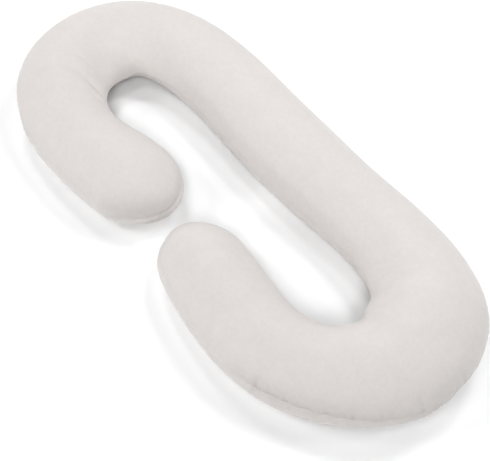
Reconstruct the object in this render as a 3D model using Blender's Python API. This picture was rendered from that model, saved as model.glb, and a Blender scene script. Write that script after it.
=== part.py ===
"""C-shaped body pillow: one long filled tube of cloth, lying flat. Metres, +Z up.

The spine runs towards +Y on the +X side. An arm hooks back from each of its ends, and the
mouth between the arms' tips opens towards -X. The pillow rests on a flat strip that its own
weight presses along its underside, and the seam of its two panels runs right round its side.
The origin is under the middle of the whole outline, on the surface that it lies on.
"""

import math

import bmesh
import bpy
import numpy as np

# The pillow's middle line, from the near arm's tip round to the far arm's. Headings are degrees
# counterclockwise from +X. The seam rises by so many degrees round the outer side and the inner
# one. Round a tight bend it is pulled taut, which pinches the inner side of the section to it.
STATIONS = (
    # name, along (m), heading, width (m), seam rise outside, inside, pinch
    ("near tip", 0.00, -99.5, 0.166, 8, 11, 0.0),
    ("near arm", 0.15, -98.8, 0.194, 11, 11, 0.1),
    ("near arm's root", 0.31, -88.1, 0.196, 4, 11, 0.2),
    ("near bend, in", 0.49, -48.9, 0.205, 3, 11, 0.3),
    ("near bend, a third round", 0.58, -25.9, 0.220, -9, 11, 0.3),
    ("near bend, middle", 0.67, 8.8, 0.240, -24, 11, 0.3),
    ("near bend, two thirds round", 0.76, 41.4, 0.242, -25, 11, 0.3),
    ("near bend, out", 0.85, 67.6, 0.218, -18, 11, 0.3),
    ("spine, near end", 1.05, 91.4, 0.197, -5, 11, 0.25),
    ("spine, middle", 1.30, 90.4, 0.207, 0, 11, 0.25),
    ("spine, far end", 1.55, 89.5, 0.207, 0, 9, 0.35),
    ("far bend, in", 1.77, 113.5, 0.209, -4, 0, 0.7),
    ("far bend, middle", 1.95, 177.0, 0.217, -8, -11, 1.0),
    ("far bend, out", 2.13, 232.9, 0.218, -12, -6, 0.1),
    ("far arm's root", 2.31, 270.3, 0.197, -17, 5, 0.1),
    ("far arm", 2.45, 280.4, 0.210, -21, 11, 0.1),
    ("far tip", 2.60, 255.2, 0.202, -22, 11, 0.0),
)

# The filled section
FULLNESS = 0.73  # height of the tube for its width
WIDEST = 0.50  # height of its widest line, for its height
SLUMP = 1.08  # how deep the lower half would hang, for its height, if no floor pressed it flat
TIP_LENGTH = 0.115  # length of the rounded end of each arm

# The seam that joins the upper panel to the lower one
SEAM_DEPTH = 0.003
SEAM_REACH = 0.008
PINCHED_OUT = 1.19  # how far out the inner seam lies, for half the width, where the pinch is 1

# The gathers where the longer outer edge of each bend is eased into the seam
GATHERED = (
    # name, from (m along), to
    ("near bend", 0.33, 1.00),
    ("far bend", 1.68, 2.32),
)
GATHER_PITCH = 0.025  # along the outer rim
GATHER_DEPTH = 0.0030
GATHER_ABOVE = 0.008  # height over the seam where a gather is deepest
GATHER_REACH = 0.016
GATHER_FADE = 0.08  # length over which a row of gathers starts and ends

# The mesh
TIP_RINGS = 7
GATHER_CUTS = 3  # extra columns in each gather
SEAM_ROWS = (3, 8, 15, 24)  # degrees from the seam, close together where the cloth creases
CROWN_ROWS = 4
FLANK_ROWS = 2
TINY = 1e-6


def slopes(places, values):
    """Slope at each row of a table: that of a parabola through the row and its neighbours."""
    steps = np.diff(places)
    rises = np.diff(values) / steps
    inner = (rises[:-1] * steps[1:] + rises[1:] * steps[:-1]) / (steps[1:] + steps[:-1])
    first = 2 * rises[0] - inner[0]
    last = 2 * rises[-1] - inner[-1]
    return np.concatenate([[first], inner, [last]])


def smooth_table(column):
    """A smooth function of the distance along the middle line, through one column of STATIONS."""
    places = np.array([row[1] for row in STATIONS])
    values = np.array([float(row[column]) for row in STATIONS])
    slope = slopes(places, values)

    def at(along):
        i = np.clip(np.searchsorted(places, along, side="right") - 1, 0, len(places) - 2)
        step = places[i + 1] - places[i]
        t = (along - places[i]) / step
        start = (2 * t**3 - 3 * t**2 + 1) * values[i] + (t**3 - 2 * t**2 + t) * step * slope[i]
        end = (3 * t**2 - 2 * t**3) * values[i + 1] + (t**3 - t**2) * step * slope[i + 1]
        return start + end

    return at


heading_at = smooth_table(2)
width_at = smooth_table(3)
seam_rise_at = smooth_table(4)
inner_rise_at = smooth_table(5)
pinch_at = smooth_table(6)
LENGTH = STATIONS[-1][1]


def middle_line(steps=1300):
    """Places along the middle line and the points there, by adding up short straight steps."""
    along = np.linspace(0, LENGTH, steps + 1)
    turn = np.radians(heading_at((along[1:] + along[:-1]) / 2))
    step = LENGTH / steps
    x = np.concatenate([[0], np.cumsum(np.cos(turn)) * step])
    y = np.concatenate([[0], np.cumsum(np.sin(turn)) * step])
    return along, x, y


LINE_ALONG, LINE_X, LINE_Y = middle_line()


def roundness(along):
    """Size of the section against its full size: 1 along the tube, falling to 0 at each tip."""
    from_tip = min(along, LENGTH - along, TIP_LENGTH) / TIP_LENGTH
    return math.sqrt(max(0.0, 1 - (1 - from_tip) ** 2))


def rim_length(along):
    """Distance along the outer rim, which is longer than the middle line where the tube bends."""
    turned = np.radians(heading_at(along) - heading_at(0.0))
    return along + turned * width_at(along) / 2


def gathered(along):
    """Whether the outer edge is eased into the seam at this place."""
    return any(start < along < end for _, start, end in GATHERED)


def ring_places():
    """Where the rings of points go: a gather apart where the rim has them, closer on the tips."""
    tip = [TIP_LENGTH * (1 - math.cos(math.pi / 2 * k / TIP_RINGS)) for k in range(1, TIP_RINGS)]
    first, last = rim_length(TIP_LENGTH), rim_length(LENGTH - TIP_LENGTH)
    count = round((last - first) / GATHER_PITCH)
    share = (np.arange(count + 1) + 0.22 * np.sin(2.1 * np.arange(count + 1))) / count
    share[0], share[-1] = 0, 1
    rims = first + share * (last - first)
    tube = [float(s) for s in np.interp(rims, rim_length(LINE_ALONG), LINE_ALONG)]
    tube = [s for k, s in enumerate(tube) if gathered(s) or k % 2 == 0 or k == count]
    return tip + tube + [LENGTH - s for s in reversed(tip)]


RINGS = ring_places()


def gather(along, over_seam):
    """How far the cloth draws in at a height over the seam, on the outer side of a bend."""
    for _, start, end in GATHERED:
        if start < along < end:
            i = int(np.searchsorted(RINGS, along, side="right")) - 1
            share = (along - RINGS[i]) / (RINGS[i + 1] - RINGS[i])
            depth = GATHER_DEPTH * (1 + 0.5 * math.sin(2.4 * i))
            depth *= min(1.0, (along - start) / GATHER_FADE, (end - along) / GATHER_FADE)
            fade = math.exp(-(((over_seam - GATHER_ABOVE) / GATHER_REACH) ** 2))
            return depth * fade * math.sin(math.pi * share) ** 2
    return 0.0


def surface(along, around):
    """Point of the cloth: around is 0 at the outer seam, 90 on top, 180 inside, 270 underneath."""
    size = roundness(along)
    half_width = width_at(along) / 2 * size
    height = width_at(along) * FULLNESS
    widest = height * WIDEST
    outer = math.cos(math.radians(around)) > 0
    from_seam = math.sin(math.radians(around))
    lift = seam_rise_at(along) if outer else -inner_rise_at(along)
    angle = math.radians(around + lift * max(0.0, 1 - SLUMP * abs(from_seam)))
    rise = (height - widest if math.sin(angle) > 0 else widest * SLUMP) * size
    pinch = 0 if outer else pinch_at(along)
    pinched = 1 + pinch * (PINCHED_OUT / math.sqrt(1 + abs(from_seam)) - 1)
    # Outward direction of the ellipse, for the crease and the gathers
    across = math.cos(angle) * max(rise, TINY)
    up = math.sin(angle) * max(half_width, TINY)
    across, up = across / math.hypot(across, up), up / math.hypot(across, up)
    over_seam = from_seam * (half_width + rise) / 2
    drawn = SEAM_DEPTH * size * math.exp(-((over_seam / SEAM_REACH) ** 2))
    if outer:
        drawn += gather(along, over_seam)
    sideways = half_width * math.cos(angle) * pinched - drawn * across
    z = widest + rise * math.sin(angle) - drawn * up
    turn = math.radians(heading_at(along))
    x = np.interp(along, LINE_ALONG, LINE_X) + math.sin(turn) * sideways
    y = np.interp(along, LINE_ALONG, LINE_Y) - math.cos(turn) * sideways
    return x, y, max(0.0, z)


def row_angles():
    """Where the rows of points go round the section, in order from the outer seam."""
    edge = math.degrees(math.asin(1 / SLUMP))  # where the flat strip underneath begins
    crown = [float(a) for a in np.linspace(SEAM_ROWS[-1], 90, CROWN_ROWS + 1)][1:-1]
    flank = [float(a) for a in np.linspace(SEAM_ROWS[-1], edge, FLANK_ROWS + 1)][1:]
    over = list(SEAM_ROWS) + crown
    under = list(SEAM_ROWS) + flank
    upper = [0] + over + [90] + [180 - a for a in reversed(over)]
    lower = [180] + [180 + a for a in under] + [270] + [360 - a for a in reversed(under)]
    return upper + lower


def pillow_mesh():
    """The closed skin: rings of quads, a fan at each tip, and finer columns where it gathers."""
    bm = bmesh.new()
    along_layer = bm.verts.layers.float.new("along")
    around_layer = bm.verts.layers.float.new("around")
    angles = row_angles()

    def vertex(along, around):
        v = bm.verts.new(surface(along, around))
        v[along_layer] = along
        v[around_layer] = around
        return v

    rings = [[vertex(s, a) for a in angles] for s in RINGS]
    tips = [vertex(0.0, 0.0), vertex(LENGTH, 0.0)]
    rows = len(angles)
    for ring, following in zip(rings, rings[1:]):
        for j in range(rows):
            k = (j + 1) % rows
            bm.faces.new((ring[j], following[j], following[k], ring[k]))
    for j in range(rows):
        k = (j + 1) % rows
        bm.faces.new((tips[0], rings[0][j], rings[0][k]))
        bm.faces.new((tips[1], rings[-1][k], rings[-1][j]))

    low, high = 360 - SEAM_ROWS[2], SEAM_ROWS[-1]
    fine_rows = [j for j, a in enumerate(angles) if a <= high or a >= low]
    fine_edges = []
    for i in range(len(rings) - 1):
        if gathered(RINGS[i]) and gathered(RINGS[i + 1]):
            fine_edges += [bm.edges.get((rings[i][j], rings[i + 1][j])) for j in fine_rows]
    bmesh.ops.subdivide_edges(bm, edges=fine_edges, cuts=GATHER_CUTS, use_grid_fill=True)
    for v in bm.verts:
        v.co = surface(v[along_layer], v[around_layer])
    bmesh.ops.recalc_face_normals(bm, faces=bm.faces)
    mesh = bpy.data.meshes.new("pillow")
    bm.to_mesh(mesh)
    bm.free()
    return mesh


def cloth_material():
    """Warm pale grey brushed cloth."""
    material = bpy.data.materials.new("brushed_cloth")
    material.use_nodes = True
    shader = material.node_tree.nodes["Principled BSDF"]
    shader.inputs["Base Color"].default_value = (0.66, 0.62, 0.595, 1)
    shader.inputs["Roughness"].default_value = 0.95
    shader.inputs["Metallic"].default_value = 0.0
    return material


def make_pillow():
    mesh = pillow_mesh()
    points = np.array([v.co for v in mesh.vertices])
    centre = (points.min(axis=0) + points.max(axis=0)) / 2
    for v in mesh.vertices:
        v.co.x -= centre[0]
        v.co.y -= centre[1]
    mesh.materials.append(cloth_material())
    mesh.shade_smooth()
    pillow = bpy.data.objects.new("pillow", mesh)
    bpy.context.scene.collection.objects.link(pillow)
    return pillow


for old in list(bpy.data.objects):
    bpy.data.objects.remove(old)
make_pillow()
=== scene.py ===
import math
import random

import bpy
import numpy as np
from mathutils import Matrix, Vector


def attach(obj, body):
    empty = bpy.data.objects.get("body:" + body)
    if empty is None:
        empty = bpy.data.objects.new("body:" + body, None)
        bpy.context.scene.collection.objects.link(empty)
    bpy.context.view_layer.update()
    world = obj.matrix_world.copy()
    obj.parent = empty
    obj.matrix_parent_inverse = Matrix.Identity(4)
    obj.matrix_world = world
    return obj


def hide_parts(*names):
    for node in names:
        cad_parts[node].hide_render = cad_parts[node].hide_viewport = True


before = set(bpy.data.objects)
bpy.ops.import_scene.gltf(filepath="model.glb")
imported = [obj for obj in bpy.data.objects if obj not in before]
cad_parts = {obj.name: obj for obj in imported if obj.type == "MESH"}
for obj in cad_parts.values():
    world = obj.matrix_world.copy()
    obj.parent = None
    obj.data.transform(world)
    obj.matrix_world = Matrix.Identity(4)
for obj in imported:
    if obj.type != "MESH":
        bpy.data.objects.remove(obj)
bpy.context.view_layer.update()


# The camera: it stands off the pillow's open side, on the near arm's side of it, and looks down
# on it through a long lens. Degrees, metres and millimetres.
CAMERA_ROUND = -36.05
CAMERA_ABOVE = 50.95
CAMERA_AWAY = 2.544
CAMERA_LOOKS_AT = Vector((-0.0082, -0.0605, 0.0))
LENS = 84.5
SENSOR = 36.0

turn, lift = math.radians(CAMERA_ROUND), math.radians(CAMERA_ABOVE)
towards_camera = Vector((math.sin(turn) * math.cos(lift), -math.cos(turn) * math.cos(lift), math.sin(lift)))
camera_data = bpy.data.cameras.new("camera")
camera_data.lens = LENS
camera_data.sensor_width = SENSOR
camera = bpy.data.objects.new("camera", camera_data)
camera.location = CAMERA_LOOKS_AT + CAMERA_AWAY * towards_camera
camera.rotation_euler = (-towards_camera).to_track_quat("-Z", "Y").to_euler()
bpy.context.scene.collection.objects.link(camera)
bpy.context.scene.camera = camera


# The pillow's skin: one upper and one lower panel of brushed cloth, both cut as a C, sewn together
# right round their edge and filled with loose fibre until the tube stands up round. These are the
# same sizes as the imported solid's, from the near arm's tip round to the far arm's.
STATIONS = (
    # name, along (m), heading, width (m), seam rise up the outer side, up the inner side, pinch
    ("near tip", 0.00, -99.5, 0.166, 8, 11, 0.0),
    ("near arm", 0.15, -98.8, 0.194, 11, 11, 0.1),
    ("near arm's root", 0.31, -88.1, 0.196, 4, 11, 0.2),
    ("near bend, in", 0.49, -48.9, 0.205, 3, 11, 0.3),
    ("near bend, a third round", 0.58, -25.9, 0.220, -9, 11, 0.3),
    ("near bend, middle", 0.67, 8.8, 0.240, -24, 11, 0.3),
    ("near bend, two thirds round", 0.76, 41.4, 0.242, -25, 11, 0.3),
    ("near bend, out", 0.85, 67.6, 0.218, -18, 11, 0.3),
    ("spine, near end", 1.05, 91.4, 0.197, -5, 11, 0.25),
    ("spine, middle", 1.30, 90.4, 0.207, 0, 11, 0.25),
    ("spine, far end", 1.55, 89.5, 0.207, 0, 9, 0.35),
    ("far bend, in", 1.77, 113.5, 0.209, -4, 0, 0.7),
    ("far bend, middle", 1.95, 177.0, 0.217, -8, -11, 1.0),
    ("far bend, out", 2.13, 232.9, 0.218, -12, -6, 0.1),
    ("far arm's root", 2.31, 270.3, 0.197, -17, 5, 0.1),
    ("far arm", 2.45, 280.4, 0.210, -21, 11, 0.1),
    ("far tip", 2.60, 255.2, 0.202, -22, 11, 0.0),
)
FULLNESS = 0.73  # height of the tube for its width
WIDEST = 0.50  # height of its widest line, for its height
SLUMP = 1.08  # how deep the lower half would hang if no floor pressed it flat
TIP_LENGTH = 0.115
PINCHED_OUT = 1.19  # how far out the inner seam lies, for half the width, where the pinch is 1
LENGTH = STATIONS[-1][1]
LINE_STEPS = 1300
PLACES = np.array([row[1] for row in STATIONS])


def through(places, values, at):
    """A smooth curve through rows of values at their places, read at other places."""
    shape = (-1,) + (1,) * (values.ndim - 1)
    steps = np.diff(places).reshape(shape)
    rises = np.diff(values, axis=0) / steps
    inner = (rises[:-1] * steps[1:] + rises[1:] * steps[:-1]) / (steps[1:] + steps[:-1])
    slope = np.concatenate([2 * rises[:1] - inner[:1], inner, 2 * rises[-1:] - inner[-1:]])
    i = np.clip(np.searchsorted(places, at, side="right") - 1, 0, len(places) - 2)
    step = (places[i + 1] - places[i]).reshape(at.shape + shape[1:])
    t = (at - places[i]).reshape(step.shape) / step
    start = (2 * t**3 - 3 * t**2 + 1) * values[i] + (t**3 - 2 * t**2 + t) * step * slope[i]
    return start + (3 * t**2 - 2 * t**3) * values[i + 1] + (t**3 - t**2) * step * slope[i + 1]


def station(column, along):
    return through(PLACES, np.array([float(row[column]) for row in STATIONS]), along)


line_along = np.linspace(0, LENGTH, LINE_STEPS + 1)
line_turn = np.radians(station(2, (line_along[1:] + line_along[:-1]) / 2))
line_x = np.concatenate([[0], np.cumsum(np.cos(line_turn)) * line_along[1]])
line_y = np.concatenate([[0], np.cumsum(np.sin(line_turn)) * line_along[1]])


def tip_size(along):
    """Size of the section against its full size: 1 along the tube, falling to 0 at each tip."""
    from_tip = np.minimum(np.minimum(along, LENGTH - along), TIP_LENGTH) / TIP_LENGTH
    return np.sqrt(np.maximum(0, 1 - (1 - from_tip) ** 2))


def rim_length(along):
    """Distance along the outer rim, which is longer than the middle line where the tube bends."""
    turned = np.radians(station(2, along) - STATIONS[0][2])
    return along + turned * station(3, along) / 2


def skin(along, around):
    """Points of the smooth skin: around is 0 at the outer seam, 90 on top, 180 inside."""
    size = tip_size(along)
    width = station(3, along)
    half_width = width / 2 * size
    height = width * FULLNESS
    widest = height * WIDEST
    outer = np.cos(np.radians(around)) > 0
    from_seam = np.sin(np.radians(around))
    rise_of_seam = np.where(outer, station(4, along), -station(5, along))
    angle = np.radians(around + rise_of_seam * np.maximum(0, 1 - SLUMP * np.abs(from_seam)))
    rise = np.where(np.sin(angle) > 0, height - widest, widest * SLUMP) * size
    pinch = np.where(outer, 0, station(6, along))
    pinched = 1 + pinch * (PINCHED_OUT / np.sqrt(1 + np.abs(from_seam)) - 1)
    sideways = half_width * np.cos(angle) * pinched
    heading = np.radians(station(2, along))
    x = np.interp(along, line_along, line_x) + np.sin(heading) * sideways
    y = np.interp(along, line_along, line_y) - np.cos(heading) * sideways
    return np.stack([x, y, np.maximum(0, widest + rise * np.sin(angle))], axis=-1)


def outwards(points):
    """The skin's outward direction at each point of a grid of rings and rows."""
    forward = np.gradient(points, axis=0)
    upward = np.roll(points, -1, axis=1) - np.roll(points, 1, axis=1)
    normal = np.cross(forward, upward)
    return normal / np.maximum(np.linalg.norm(normal, axis=-1, keepdims=True), 1e-12)


# Rings of points stand closest where the cloth is gathered, and rows closest at the outer seam.
GATHERED = (
    # name, from (m along), to
    ("near bend", 0.33, 1.00),
    ("far bend", 1.68, 2.32),
)
RING_STEP = 0.0023
PLAIN_RING_STEP = 0.0042
STEP_CHANGE = 0.05  # length over which the rings draw closer before a gathered stretch
TIP_RINGS = 34
TUBE_STEPS = 4000
BOTTOM = 270.0
QUARTERS = (
    # name, from (degrees), to, rows, crowding towards the first
    ("over the outer seam", 0, 90, 24, 1.45),
    ("over the inner seam", 180, 90, 13, 1.3),
    ("under the inner seam", 180, 248, 9, 1.3),
    ("under the outer seam", 360, 292, 15, 1.45),
)


def ring_places():
    tip = TIP_LENGTH * (1 - np.cos(np.pi / 2 * np.arange(1, TIP_RINGS) / TIP_RINGS))
    along = np.linspace(TIP_LENGTH, LENGTH - TIP_LENGTH, TUBE_STEPS + 1)
    step = np.full(along.shape, PLAIN_RING_STEP)
    for _, start, end in GATHERED:
        inside = np.clip(np.minimum(along - start, end - along) / STEP_CHANGE + 1, 0, 1)
        step = np.minimum(step, PLAIN_RING_STEP + (RING_STEP - PLAIN_RING_STEP) * inside)
    density = np.gradient(rim_length(along)) / step
    count = np.concatenate([[0], np.cumsum((density[1:] + density[:-1]) / 2)])
    rings = round(count[-1])
    tube = np.interp(np.arange(rings + 1) * count[-1] / rings, count, along)
    return np.concatenate([tip, tube, LENGTH - tip[::-1]])


def row_places():
    rows = [BOTTOM]
    for _, start, end, count, crowding in QUARTERS:
        rows += [start + (end - start) * (k / count) ** crowding for k in range(count + 1)]
    return np.array(sorted({round(row % 360, 6) for row in rows}))


rings, rows = ring_places(), row_places()
along, around = np.meshgrid(rings, rows, indexing="ij")


def skin_mesh(name, points, tips):
    """A closed mesh of rings of quads, with a fan to each tip."""
    index = np.arange(points.shape[0] * points.shape[1]).reshape(points.shape[:2])
    beside = np.roll(index, -1, axis=1)
    quads = np.stack([index[:-1], index[1:], beside[1:], beside[:-1]], axis=-1).reshape(-1, 4)
    near = [(index.size, a, b) for a, b in zip(index[0].tolist(), beside[0].tolist())]
    far = [(index.size + 1, b, a) for a, b in zip(index[-1].tolist(), beside[-1].tolist())]
    mesh = bpy.data.meshes.new(name)
    mesh.from_pydata(points.reshape(-1, 3).tolist() + tips.tolist(), [], quads.tolist() + near + far)
    mesh.shade_smooth()
    return mesh


# The filling: loose fibre that presses the skin out evenly from inside, so cloth that is longer
# than its seam puckers. A coarser copy of the skin is pressed as cloth, and how far each of its
# points has moved is carried over to the fine skin.
FILL_PRESSURE = 4.0
FILL_FRAMES = 20
MOST_MOVE = 0.0025
PRESSED_RING_STEP = 3
PRESSED_ROW_STEP = 2
EASE = 0.05  # how much longer the eased cloth is than its seam
EASE_REACH = 0.05  # height over the seam to which the cloth is eased
EASE_START = 0.08  # length over which a bend's ease grows
TIP_EASE = 1.25  # how far along the tube a tip's ease reaches, for the tip's length
EASED_SIDE = 3  # how steeply the ease ends towards the top of the tube
TUBE_RADIUS = 0.09

tips = np.stack([skin(np.array([s]), np.array([0.0]))[0] for s in (0.0, LENGTH)])
smooth = skin(along, around)
centre = (smooth.min(axis=(0, 1)) + smooth.max(axis=(0, 1))) / 2 * (1, 1, 0)
smooth, tips = smooth - centre, tips - centre
moved = np.zeros_like(smooth)


def eased(along):
    """How much the outer edge is eased into the seam: 1 round the bends and the tips, 0 between."""
    share = np.clip(TIP_EASE - np.minimum(along, LENGTH - along) / TIP_LENGTH, 0, 1)
    for _, start, end in GATHERED:
        share = np.maximum(share, np.clip(np.minimum(along - start, end - along) / EASE_START, 0, 1))
    return share


def pressed(points, tips, ease):
    """Where the points of a skin lie once the filling has pressed them out."""
    mesh = skin_mesh("pressed skin", points, tips)
    copy = bpy.data.objects.new("pressed skin", mesh)
    bpy.context.scene.collection.objects.link(copy)
    eased_cloth = copy.vertex_groups.new(name="eased cloth")
    for i, weight in enumerate(ease.ravel().tolist()):
        eased_cloth.add([i], weight, "REPLACE")
    cloth = copy.modifiers.new("cloth", "CLOTH")
    cloth.settings.quality = 5
    cloth.settings.use_pressure = True
    cloth.settings.uniform_pressure_force = FILL_PRESSURE
    cloth.settings.effector_weights.gravity = 0
    cloth.settings.vertex_group_shrink = "eased cloth"
    cloth.settings.shrink_min = 0
    cloth.settings.shrink_max = -EASE
    cloth.collision_settings.use_collision = False
    cloth.point_cache.frame_end = FILL_FRAMES
    for moment in range(1, FILL_FRAMES + 1):
        bpy.context.scene.frame_set(moment)
    result = copy.evaluated_get(bpy.context.evaluated_depsgraph_get()).data
    places = np.empty(len(mesh.vertices) * 3, np.float32)
    result.vertices.foreach_get("co", places)
    bpy.data.objects.remove(copy)
    bpy.context.scene.frame_set(1)
    return places.reshape(-1, 3)[: -len(tips)].reshape(points.shape).astype(float)


ring_share = np.unique(np.append(np.arange(0, len(rings), PRESSED_RING_STEP), len(rings) - 1))
row_share = np.arange(0, len(rows), PRESSED_ROW_STEP)
coarse = smooth[np.ix_(ring_share, row_share)]
row_angle = np.radians(rows[row_share])
from_seam = np.abs(np.sin(row_angle)) * TUBE_RADIUS / EASE_REACH
row_ease = np.exp(-(from_seam**2)) * np.clip(np.cos(row_angle) * EASED_SIDE, 0, 1)
shift = pressed(coarse, tips, eased(rings[ring_share])[:, None] * row_ease[None]) - coarse
distance = np.linalg.norm(shift, axis=-1, keepdims=True)
shift *= np.minimum(1, MOST_MOVE / np.maximum(distance, 1e-9))
wrapped_rows = np.concatenate([rows[row_share], [rows[row_share][0] + 360]])
across = through(ring_share.astype(float), shift, np.arange(len(rings)).astype(float))
across = np.concatenate([across, across[:, :1]], axis=1)
moved = np.swapaxes(through(wrapped_rows, np.swapaxes(across, 0, 1), rows), 0, 1)


# The seam: the two panels are sewn face to face and turned, so the stitching is hidden and the
# line lies in a shallow crease. Round the bends and the tips the longer edge of each panel is
# eased into it, in fine gathers with a deeper tuck here and there.
CREASES = (
    # name, depth (mm), reach over the seam, reach under it
    ("eased", 7.0, 24, 7),
    ("plain", 2.4, 10, 6),
    ("inner", 0.7, 7, 6),
)
GROOVE_DEPTH = 0.0005
GROOVE_REACH = 0.0016
TUCKS = (
    # along (m), depth (mm), width (mm): those that the photograph shows on the upper panel
    (0.318, 1.4, 6.0),
    (0.345, 1.8, 5.5),
    (0.367, 3.4, 6.5),
    (0.392, 2.2, 6.0),
    (0.424, 4.0, 12.0),
    (0.448, 3.2, 9.0),
    (0.477, 3.6, 10.0),
    (0.505, 2.8, 9.0),
    (0.528, 2.2, 9.0),
    (0.556, 1.8, 10.0),
    (0.590, 1.2, 10.0),
)
TUCK_PITCH = 0.047
TUCK_DEPTH = 0.0013
TUCK_WIDTH = 0.0100
TUCK_REACH = 0.0085
PLEAT_PITCH = 0.0074
PLEAT_DEPTH = 0.0011
PLEAT_WIDTH = 0.0024
PLEAT_REACH = 0.020
LOWER_TUCKS = 0.7  # depth of the lower panel's tucks, for the upper one's
LOWER_PLEATS = 0.8
UNEVEN_SIZE = 0.45  # how much the gathers differ in depth and reach
UNEVEN_WIDTH = 0.75, 1.3
UNEVEN_REACH = 0.7, 1.3
UNEVEN_PITCH = 0.55, 1.45
LEAN = 0.22  # how far a gather leans to either side, for its height
SPREAD = 0.028  # height over the seam at which a gather is twice as wide
MOUTH = 0.0022  # height over the seam to which the stitching holds a gather flatter
MOUTH_HOLD = 0.65  # share of its depth that the stitching takes away
PUFF = 0.0016  # how far the cloth between gathers stands out over the seam
PUFF_HEIGHT = 0.0088
PUFF_REACH = 0.9 * PUFF_HEIGHT
LIP = 1.8  # how much further it stands out under the seam
SCALLOP = 0.0040  # how far the seam's line rises into a tuck
SCALLOP_WIDTH = 1.2  # width of that rise, for the tuck's
SCALLOP_REACH = 0.014
UPPER_FROM = 0.002  # height over the seam from which only the upper panel's gathers show
OUTER_SIDE = 4  # how steeply the outer seam's forms end towards the top of the tube
BEND_START = 0.07  # length over which a bend's gathers grow
LEAST_EASE = 0.1  # share of the gathers that is left where the seam is plain
TIP_GATHERS = 5, 40, 130, 170  # degrees round a tip: gathers start, are full, ease off, end
TIP_TURN = 145, 175  # degrees round a tip between which the outer seam becomes the inner one
CRINKLE_AND_SHADE_REACH = 0.027  # height over the seam to which the cloth is finely crinkled and painted with their shade
TIP_CRINKLES_AND_SHADE = 0.5  # how strong the crinkles and their painted shade are round a tip, for those of a bend
DEEPEST = 0.004  # depth at which the inside of a gather gets its full painted shade
SHADE_FROM = -0.001  # height over the seam from which that painted shade begins

size = tip_size(along)
radius = station(3, along) * (1 + FULLNESS) / 4
over = radius * np.arcsin(np.clip(size * np.sin(np.radians(around)), -1, 1))
# Round each tip the rim goes on from the outer side to the inner one.
past = np.clip(1 - np.minimum(along, LENGTH - along) / TIP_LENGTH, 0, 1)
round_tip = np.arctan2(past, size * np.cos(np.radians(around)))
near_rim = rim_length(np.array(TIP_LENGTH)) - round_tip * (TIP_LENGTH + radius) / 2
far_rim = rim_length(np.array(LENGTH - TIP_LENGTH)) + round_tip * (TIP_LENGTH + radius) / 2
rim = np.where(past > 0, np.where(along < LENGTH / 2, near_rim, far_rim), rim_length(along))
outer_side = np.clip(np.cos(np.radians(around)) * OUTER_SIDE, 0, 1)
bend_ease = np.full_like(along, LEAST_EASE)
for _, start, end in GATHERED:
    bend_ease = np.maximum(bend_ease, np.minimum(1, np.minimum(along - start, end - along) / BEND_START))
tip_ease = np.maximum(LEAST_EASE, np.interp(np.degrees(round_tip), TIP_GATHERS, (0, 1, 1, 0)))
ease = np.where(past > 0, tip_ease, outer_side * bend_ease)
outer_rim = np.where(past > 0, np.interp(np.degrees(round_tip), TIP_TURN, (1, 0)), outer_side)


def drawn_gathers(seed, pitch, depth, width, reach):
    """Rows of gathers one pitch apart, each a little out of place and of its own size."""
    chance = random.Random(seed)
    gathers = []
    place = rim.min()
    while place < rim.max():
        big = chance.lognormvariate(0, UNEVEN_SIZE)
        gathers.append((place, depth * big, width * chance.uniform(*UNEVEN_WIDTH),
                        reach * big**0.5 * chance.uniform(*UNEVEN_REACH), chance.uniform(-LEAN, LEAN)))
        place += pitch * chance.uniform(*UNEVEN_PITCH)
    return gathers


def valleys(gathers, height):
    """How deep the gathers of one panel draw in at a height over the seam."""
    depth = np.zeros_like(rim)
    for place, deep, wide, reach, lean in gathers:
        off = (rim - place - lean * height) / (wide * (1 + height / SPREAD))
        depth += deep * np.exp(-(off**2) - height / reach)
    return depth


seen_tucks = [(rim_length(np.array(place)), deep / 1000, wide / 1000, TUCK_REACH, 0.0)
              for place, deep, wide in TUCKS]
seen_from = seen_tucks[0][0] - TUCK_PITCH / 2
seen_to = seen_tucks[-1][0] + TUCK_PITCH / 2
spread_tucks = drawn_gathers(5, TUCK_PITCH, TUCK_DEPTH, TUCK_WIDTH, TUCK_REACH)
upper_tucks = seen_tucks + [tuck for tuck in spread_tucks if not seen_from < tuck[0] < seen_to]
lower_tucks = drawn_gathers(6, TUCK_PITCH, TUCK_DEPTH * LOWER_TUCKS, TUCK_WIDTH, TUCK_REACH)
upper_pleats = drawn_gathers(7, PLEAT_PITCH, PLEAT_DEPTH, PLEAT_WIDTH, PLEAT_REACH)
lower_pleats = drawn_gathers(8, PLEAT_PITCH, PLEAT_DEPTH * LOWER_PLEATS, PLEAT_WIDTH, PLEAT_REACH)

height = np.abs(over)
upper_share = np.clip(over / UPPER_FROM, 0, 1)
tucks = valleys(upper_tucks, height) * upper_share + valleys(lower_tucks, height) * (1 - upper_share)
pleats = valleys(upper_pleats, height) * upper_share + valleys(lower_pleats, height) * (1 - upper_share)
opened = 1 - MOUTH_HOLD * np.exp(-((height / MOUTH) ** 2))
groove = outer_rim * GROOVE_DEPTH * np.exp(-((over / GROOVE_REACH) ** 2))
hidden = ease * opened * (tucks + pleats) + groove
puffed = np.where(over > 0, 1, LIP) * PUFF
drawn = hidden - ease * puffed * np.exp(-(((height - PUFF_HEIGHT) / PUFF_REACH) ** 2))
crease_parts = ease * outer_rim, (1 - ease) * outer_rim, 1 - outer_rim
for (_, deep, over_reach, under_reach), part in zip(CREASES, crease_parts):
    reach = np.where(over > 0, over_reach, under_reach) / 1000
    drawn += deep / 1000 * part * size * np.exp(-((over / reach) ** 2))
scallops = [(place, 1, wide * SCALLOP_WIDTH, 1, 0) for place, _, wide, _, _ in upper_tucks]
climb = np.clip(valleys(scallops, np.zeros_like(rim)), 0, 1)
climb = ease * SCALLOP * climb * np.exp(-((over / SCALLOP_REACH) ** 2))

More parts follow.
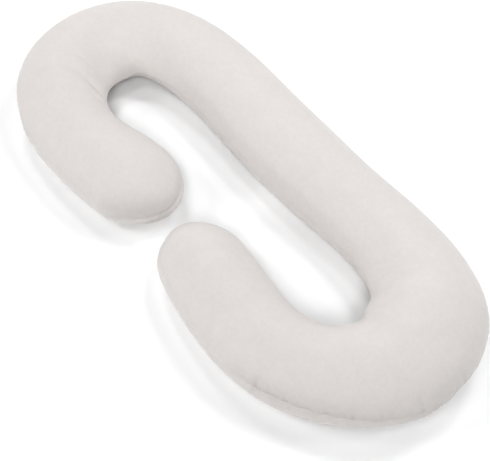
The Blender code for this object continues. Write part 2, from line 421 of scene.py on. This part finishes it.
# Soft folds and ridges where the tube turns tightly, from the inner edge up over the crown.
FOLDS = (
    # name, along and around (degrees) at its one end, at its other, depth (mm), width (mm)
    ("far arm's ridge", 2.170, 96, 2.256, 162, -3.5, 8),
    ("far arm's fold", 2.134, 104, 2.222, 160, 5.0, 13),
    ("far bend's fold", 2.072, 92, 2.112, 140, 2.0, 10),
    ("far bend, back", 1.866, 122, 1.912, 170, 1.4, 13),
    ("far bend, near the spine", 1.80, 165, 1.77, 120, 0.7, 10),
    ("near bend's fold", 0.60, 150, 0.56, 105, 0.6, 9),
    ("near bend, near the spine", 0.80, 160, 0.84, 110, 0.8, 9),
)
FOLD_ENDS = 2.2  # how steeply a fold fades out at its two ends
for _, along_one, around_one, along_two, around_two, deep, wide in FOLDS:
    share = (around - around_one) / (around_two - around_one)
    off = (along - along_one - share * (along_two - along_one)) / (wide / 1000)
    ends = np.exp(-((FOLD_ENDS * (share - 0.5)) ** 4))
    drawn += deep / 1000 * np.exp(-(off**2)) * ends

out = outwards(smooth)
points = skin(along, around + np.degrees(climb / radius)) - centre + moved - out * drawn[..., None]
points[..., 2] = np.maximum(0, points[..., 2])
pillow = bpy.data.objects.new("filled_cover", skin_mesh("filled_cover", points, tips))
# Painted shade for the cloth's colour: full where a gather draws in deepest, and beside the seam where the
# cloth crinkles. The crinkle mask also sets how strongly the crinkles bump the cloth.
crinkle_and_shade_share = np.where(past > 0, TIP_CRINKLES_AND_SHADE, 1) * ease * (over > 0)
shaded_cloth = (
    ("painted_gather_shade", np.clip(hidden / DEEPEST, 0, 1) * (over > SHADE_FROM)),
    ("crinkled_and_shaded", crinkle_and_shade_share * np.exp(-((height / CRINKLE_AND_SHADE_REACH) ** 2))),
    ("along_rim", rim),
    ("over_seam", over),
)
for name, values in shaded_cloth:
    attribute = pillow.data.attributes.new(name, "FLOAT", "POINT")
    attribute.data.foreach_set("value", np.append(values.ravel(), [values[0, 0], values[-1, 0]]))
bpy.context.scene.collection.objects.link(pillow)
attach(pillow, "root")
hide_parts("pillow")


# The cloth: knitted velour, brushed so that its short soft pile hides the knit. It is warm pale
# grey, matt, a little mottled where the pile leans one way or the other, and lighter edge-on.
CLOTH_COLOUR = (0.640, 0.609, 0.592)
LEANING_AWAY = (0.608, 0.577, 0.558)
# Painted shade: the tone the cloth is darkened towards inside the deep gathers and between the crinkles
# beside the seam.
PAINTED_SEAM_SHADE = (0.42, 0.39, 0.375)
BETWEEN_TUFTS = 0.86  # tone between the tufts, for that of the pile that leans away
CRINKLE = 0.0035  # width of the finest crinkles beside the seam (m)
CRINKLE_WIDTH = 0.16  # width of a crinkle, for its length away from the seam
BROAD_PATCHES = 26  # to the metre, and so are the five below
SMALL_PATCHES = 95
DENTS = 85
TUFTS = 260
PILE = 620
FIBRES = 1300


class Shade:
    """A socket of the cloth's shader, on which sums are written as Python writes them."""

    def __init__(self, tree, socket=None):
        self.tree = tree
        self.socket = socket

    def node(self, kind, settings, values, output=0):
        """A node of any kind: its settings first, then its sockets' values or links."""
        made = self.tree.nodes.new(kind)
        for name, value in settings.items():
            setattr(made, name, value)
        for name, value in values.items():
            if isinstance(value, Shade):
                self.tree.links.new(value.socket, made.inputs[name])
            else:
                made.inputs[name].default_value = value
        return Shade(self.tree, made.outputs[output])

    def math(self, operation, *values):
        return self.node("ShaderNodeMath", {"operation": operation}, dict(enumerate(values)))

    def __add__(self, other):
        return self.math("ADD", self, other)

    def __sub__(self, other):
        return self.math("SUBTRACT", self, other)

    def __rsub__(self, other):
        return self.math("SUBTRACT", other, self)

    def __mul__(self, other):
        return self.math("MULTIPLY", self, other)

    __radd__ = __add__
    __rmul__ = __mul__

    def noise(self, scale, detail=2):
        """Noise of about 1 / scale metres, from 0 to 1, at the place that this socket gives."""
        return self.node("ShaderNodeTexNoise", {"noise_dimensions": "3D"},
                         {"Vector": self, "Scale": scale, "Detail": detail, "Roughness": 0.5})

    def between(self, low, high):
        """0 where this is at low, 1 where it is at high, and smooth between."""
        return self.node("ShaderNodeMapRange", {"interpolation_type": "SMOOTHSTEP"},
                         {"Value": self, "From Min": low, "From Max": high})

    def mix(self, one, two):
        """One colour where this is 0 and another where it is 1."""
        return self.node("ShaderNodeMix", {"data_type": "RGBA"}, {0: self, 6: one, 7: two}, 2)


velour = bpy.data.materials.new("brushed_velour")
velour.use_nodes = True
tree = velour.node_tree
cloth_shader = tree.nodes["Principled BSDF"]
cloth_shader.inputs["Roughness"].default_value = 0.92
cloth_shader.inputs["Specular IOR Level"].default_value = 0.25
cloth_shader.inputs["Sheen Weight"].default_value = 0.25
cloth_shader.inputs["Sheen Roughness"].default_value = 0.55
cloth_shader.inputs["Sheen Tint"].default_value = (1.0, 0.97, 0.95, 1)
place = Shade(tree).node("ShaderNodeTexCoord", {}, {}, 3)
painted_gather_shade, crinkled_and_shaded, along_rim, over_seam = (
    Shade(tree).node("ShaderNodeAttribute", {"attribute_name": name}, {}, 2)
    for name in ("painted_gather_shade", "crinkled_and_shaded", "along_rim", "over_seam"))
beside_seam = Shade(tree).node("ShaderNodeCombineXYZ", {},
                               {"X": along_rim, "Y": over_seam * CRINKLE_WIDTH, "Z": 0.0})
crinkles = beside_seam.noise(1 / CRINKLE)
broad_lean = place.noise(BROAD_PATCHES, 3).between(0.30, 0.70)
small_lean = place.noise(SMALL_PATCHES, 3).between(0.30, 0.72)
lean = broad_lean * 0.45 + small_lean * 0.55
pile = place.noise(PILE)
tufts = place.noise(TUFTS)
colour = lean.mix((*LEANING_AWAY, 1), (*CLOTH_COLOUR, 1))
grain = pile.between(0.25, 0.60) * 0.16 + tufts.between(0.30, 0.70) * 0.14
between_tufts = [tone * BETWEEN_TUFTS for tone in LEANING_AWAY]
colour = (grain + 0.70).mix((*between_tufts, 1), colour)
# Painted shade: the cloth darkens towards the seam shade inside the deep gathers and between the crinkles
# beside the seam.
shaded = painted_gather_shade.between(0.15, 1.0) * 0.25 + crinkled_and_shaded * (0.74 - 0.6 * crinkles)
colour = shaded.mix(colour, (*PAINTED_SEAM_SHADE, 1))
tree.links.new(colour.socket, cloth_shader.inputs["Base Color"])
relief = place.noise(FIBRES) * 0.35 + pile * 0.65 + tufts * 0.5
fine = Shade(tree).node("ShaderNodeBump", {}, {"Strength": 0.35, "Distance": 0.0006, "Height": relief})
soft = Shade(tree).node("ShaderNodeBump", {}, {"Strength": 0.5, "Distance": 0.0012,
                                               "Height": place.noise(DENTS), "Normal": fine})
creased = Shade(tree).node("ShaderNodeBump", {}, {"Strength": crinkled_and_shaded * 0.9, "Distance": 0.0016,
                                                  "Height": crinkles, "Normal": soft})
tree.links.new(creased.socket, cloth_shader.inputs["Normal"])
pillow.data.materials.append(velour)


# The floor and the light: a plain white studio floor, with a white room round it and eleven
# broad soft lamps. Three at the back stand close, so the light falls off towards the camera.
FLOOR_COLOUR = (0.938, 0.944, 0.95)
FLOOR_REACH = 20
ROOM_LIGHT = 0.02
LAMP_BREADTH = 14  # degrees across, seen from the pillow
LAMPS = (
    # name, way (degrees round from the camera's right), height (degrees), away (m), strength
    ("low right", 0, 25, 30, 0.39),
    ("right", 0, 45, 30, 0.30),
    ("low back right", 30, 25, 3, 0.62),
    ("high back right", 30, 65, 3, 0.70),
    ("lowest back", 90, 8, 30, 0.67),
    ("high back left", 120, 65, 3, 0.60),
    ("lowest back left", 150, 8, 30, 0.62),
    ("left", 180, 45, 30, 0.45),
    ("low front left", 210, 25, 30, 0.67),
    ("high front left", 240, 65, 30, 0.51),
    ("front", 270, 45, 30, 1.25),
)

floor_mesh = bpy.data.meshes.new("floor")
corners = [(x * FLOOR_REACH, y * FLOOR_REACH, 0) for x, y in ((-1, -1), (1, -1), (1, 1), (-1, 1))]
floor_mesh.from_pydata(corners, [], [(0, 1, 2, 3)])
floor = bpy.data.objects.new("floor", floor_mesh)
bpy.context.scene.collection.objects.link(floor)
paper = bpy.data.materials.new("white_paper")
paper.use_nodes = True
paper_shader = paper.node_tree.nodes["Principled BSDF"]
paper_shader.inputs["Base Color"].default_value = (*FLOOR_COLOUR, 1)
paper_shader.inputs["Roughness"].default_value = 0.95
paper_shader.inputs["Specular IOR Level"].default_value = 0.2
floor_mesh.materials.append(paper)

to_the_right = Vector((math.cos(turn), math.sin(turn), 0))
ahead = Vector((-math.sin(turn), math.cos(turn), 0))
for name, way, above, away, strength in LAMPS:
    lamp_data = bpy.data.lights.new(name, "AREA")
    lamp_data.shape = "DISK"
    lamp_data.size = 2 * away * math.tan(math.radians(LAMP_BREADTH / 2))
    lamp_data.energy = strength * math.pi * away**2
    lamp = bpy.data.objects.new(name, lamp_data)
    level = to_the_right * math.cos(math.radians(way)) + ahead * math.sin(math.radians(way))
    beam = level * math.cos(math.radians(above)) + Vector((0, 0, math.sin(math.radians(above))))
    lamp.location = beam * away
    lamp.rotation_euler = (-beam).to_track_quat("-Z", "Y").to_euler()
    bpy.context.scene.collection.objects.link(lamp)

world = bpy.data.worlds.new("studio")
world.use_nodes = True
world.node_tree.nodes["Background"].inputs["Color"].default_value = (1, 1, 1, 1)
world.node_tree.nodes["Background"].inputs["Strength"].default_value = ROOM_LIGHT
bpy.context.scene.world = world
bpy.context.scene.view_settings.view_transform = "Standard"
